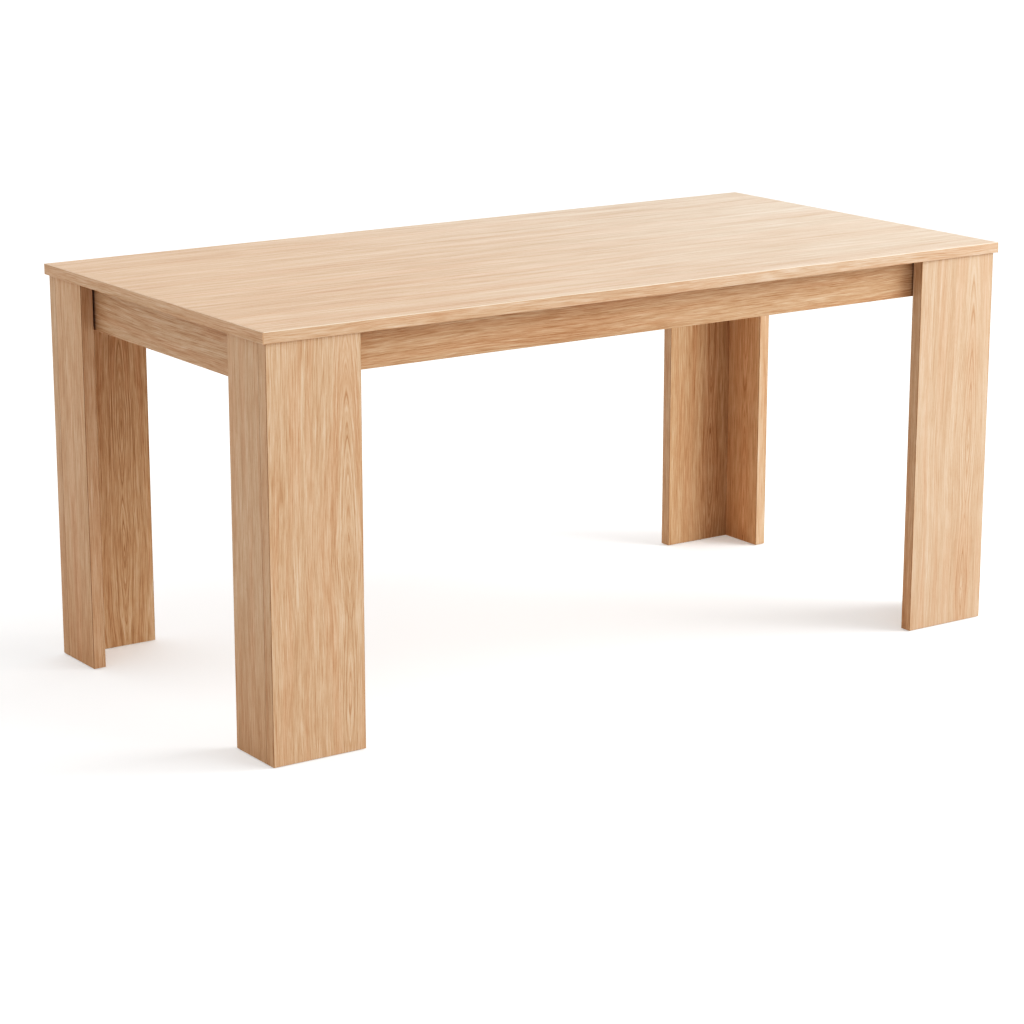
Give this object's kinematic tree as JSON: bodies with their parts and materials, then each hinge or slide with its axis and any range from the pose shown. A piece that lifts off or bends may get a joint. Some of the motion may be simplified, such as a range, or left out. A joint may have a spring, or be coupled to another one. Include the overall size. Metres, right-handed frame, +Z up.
{
  "type": "communion table",
  "caption": "Plain rectangular oak-faced communion table with a thin banded top, L-shaped panel legs at the corners and rails set back under the top.",
  "frame": {"origin": "on the floor, under the centre of the table top", "axes": "+X along the table, +Y from the front long side to the back one, +Z up"},
  "size_m": [1.6, 0.8, 0.74],
  "materials": {
    "top_laminate": "satin, pale oak-grain laminate, grain along the table",
    "top_edging": "satin oak-grain edge band",
    "leg_laminate": "satin oak-grain laminate, grain upright",
    "leg_edging": "satin oak-grain edge band, grain upright",
    "rail_laminate": "satin oak-grain laminate, grain along the rail",
    "beech": "planed solid beech, unfinished",
    "zinc_steel": "zinc-plated pressed steel",
    "glide_plastic": "matt brown moulded plastic"
  },
  "bodies": {
    "root": {"top_board": "top_laminate", "top_band_front": "top_edging", "top_band_back": "top_edging", "top_band_left": "top_edging", "top_band_right": "top_edging", "front_left_wide_board": "leg_laminate", "front_left_narrow_board": "leg_laminate", "front_left_outer_band": "leg_edging", "front_left_inner_band": "leg_edging", "front_left_side_band": "leg_edging", "front_left_corner_block": "beech", "front_left_corner_plate": "zinc_steel", "front_left_hanger_bolt": "zinc_steel", "front_left_bolt_nut": "zinc_steel", "front_left_wide_glide": "glide_plastic", "front_left_narrow_glide": "glide_plastic", "front_right_wide_board": "leg_laminate", "front_right_narrow_board": "leg_laminate", "front_right_outer_band": "leg_edging", "front_right_inner_band": "leg_edging", "front_right_side_band": "leg_edging", "front_right_corner_block": "beech", "front_right_corner_plate": "zinc_steel", "front_right_hanger_bolt": "zinc_steel", "front_right_bolt_nut": "zinc_steel", "front_right_wide_glide": "glide_plastic", "front_right_narrow_glide": "glide_plastic", "back_left_wide_board": "leg_laminate", "back_left_narrow_board": "leg_laminate", "back_left_outer_band": "leg_edging", "back_left_inner_band": "leg_edging", "back_left_side_band": "leg_edging", "back_left_corner_block": "beech", "back_left_corner_plate": "zinc_steel", "back_left_hanger_bolt": "zinc_steel", "back_left_bolt_nut": "zinc_steel", "back_left_wide_glide": "glide_plastic", "back_left_narrow_glide": "glide_plastic", "back_right_wide_board": "leg_laminate", "back_right_narrow_board": "leg_laminate", "back_right_outer_band": "leg_edging", "back_right_inner_band": "leg_edging", "back_right_side_band": "leg_edging", "back_right_corner_block": "beech", "back_right_corner_plate": "zinc_steel", "back_right_hanger_bolt": "zinc_steel", "back_right_bolt_nut": "zinc_steel", "back_right_wide_glide": "glide_plastic", "back_right_narrow_glide": "glide_plastic", "front_rail": "rail_laminate", "back_rail": "rail_laminate", "left_rail": "rail_laminate", "right_rail": "rail_laminate", "centre_bearer": "rail_laminate", "front_left_bracket": "zinc_steel", "front_right_bracket": "zinc_steel", "back_left_bracket": "zinc_steel", "back_right_bracket": "zinc_steel", "left_bracket": "zinc_steel", "right_bracket": "zinc_steel"}
  },
  "joints": []
}
